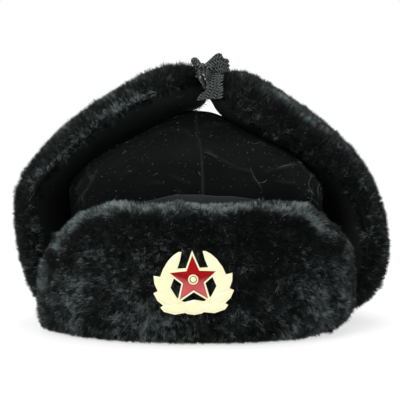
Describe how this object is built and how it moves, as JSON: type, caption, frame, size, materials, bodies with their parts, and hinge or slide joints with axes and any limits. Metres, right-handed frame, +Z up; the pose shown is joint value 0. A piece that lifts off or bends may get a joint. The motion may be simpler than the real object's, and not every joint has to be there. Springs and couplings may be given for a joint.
{
  "type": "fur hat with ear flaps",
  "caption": "Black plush winter hat standing on its rim, its ear flaps folded up and tied over a four-panel velour crown, with a wreath and star badge on the front flap.",
  "frame": {"origin": "on the surface the hat stands on, under the middle of its bounding box", "axes": "+Z up through the crown, the front flap and its badge face -Y, +X is the right of somebody looking at the front"},
  "size_m": [0.2576, 0.2642, 0.1828],
  "materials": {
    "velour": "matt black cotton velour",
    "fur": "deep plush fur, black with a grey-green sheen",
    "webbing": "dark grey herringbone tape",
    "gilt": "pale gilt, stamped",
    "enamel": "glossy red enamel"
  },
  "bodies": {
    "root": {"crown": "velour", "front_flap_fur": "fur", "front_flap_face": "velour", "neck_flap_fur": "fur", "neck_flap_face": "velour", "ear_flap_right_fur": "fur", "ear_flap_right_face": "velour", "ear_flap_left_fur": "fur", "ear_flap_left_face": "velour", "tie_tape_right": "webbing", "tie_tape_left": "webbing", "tie_bow": "webbing", "badge_wreath_and_star": "gilt", "badge_enamel": "enamel"}
  },
  "joints": []
}
